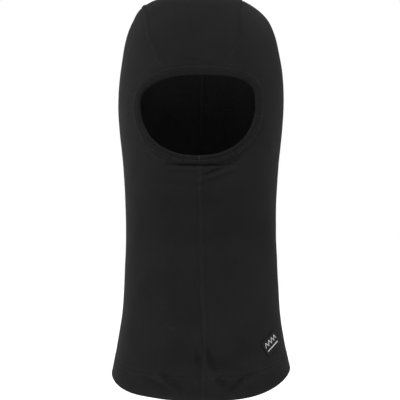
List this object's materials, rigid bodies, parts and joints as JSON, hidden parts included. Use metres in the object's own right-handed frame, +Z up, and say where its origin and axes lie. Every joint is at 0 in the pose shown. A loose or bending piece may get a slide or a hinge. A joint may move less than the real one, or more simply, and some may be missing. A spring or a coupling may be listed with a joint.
{
  "type": "balaclava",
  "caption": "Close-fitting black knitted balaclava with one wide banded face opening, a crown panel, flat seams and a long flared neck with a turned-up hem.",
  "frame": {"origin": "middle of the head cavity, level with the widest part of the head", "axes": "+X to the wearer's left, -Y the way the face looks, +Z up"},
  "size_m": [0.1824, 0.2027, 0.4122],
  "materials": {
    "shell_knit": "matte fine black jersey knit",
    "band_knit": "matte black folded self-fabric",
    "elastic": "matte covered elastic",
    "seam_thread": "satin textured black polyester thread",
    "label_cloth": "black woven damask label",
    "label_yarn": "light grey woven yarn",
    "satin": "off-white satin ribbon"
  },
  "bodies": {
    "hood": {"crown_panel": "shell_knit", "left_side_panel": "shell_knit", "right_side_panel": "shell_knit", "face_band": "band_knit", "face_elastic": "elastic", "face_band_stitching": "seam_thread", "face_band_looper": "seam_thread", "face_band_join": "seam_thread", "crown_seam_left": "seam_thread", "crown_seam_right": "seam_thread", "front_seam": "seam_thread", "back_seam": "seam_thread", "hem_stitching": "seam_thread", "hem_looper": "seam_thread", "label_patch": "label_cloth", "label_motif": "label_yarn", "label_stitching": "seam_thread", "care_label_tack": "seam_thread"},
    "care_label_body": {"care_label": "satin"}
  },
  "joints": [
    {"name": "care_label_flap", "type": "hinge", "parent": "hood", "child": "care_label_body", "pos_m": [0, 0.067, -0.192], "axis": [-1, 0, 0], "range_deg": [0, 110]}
  ]
}
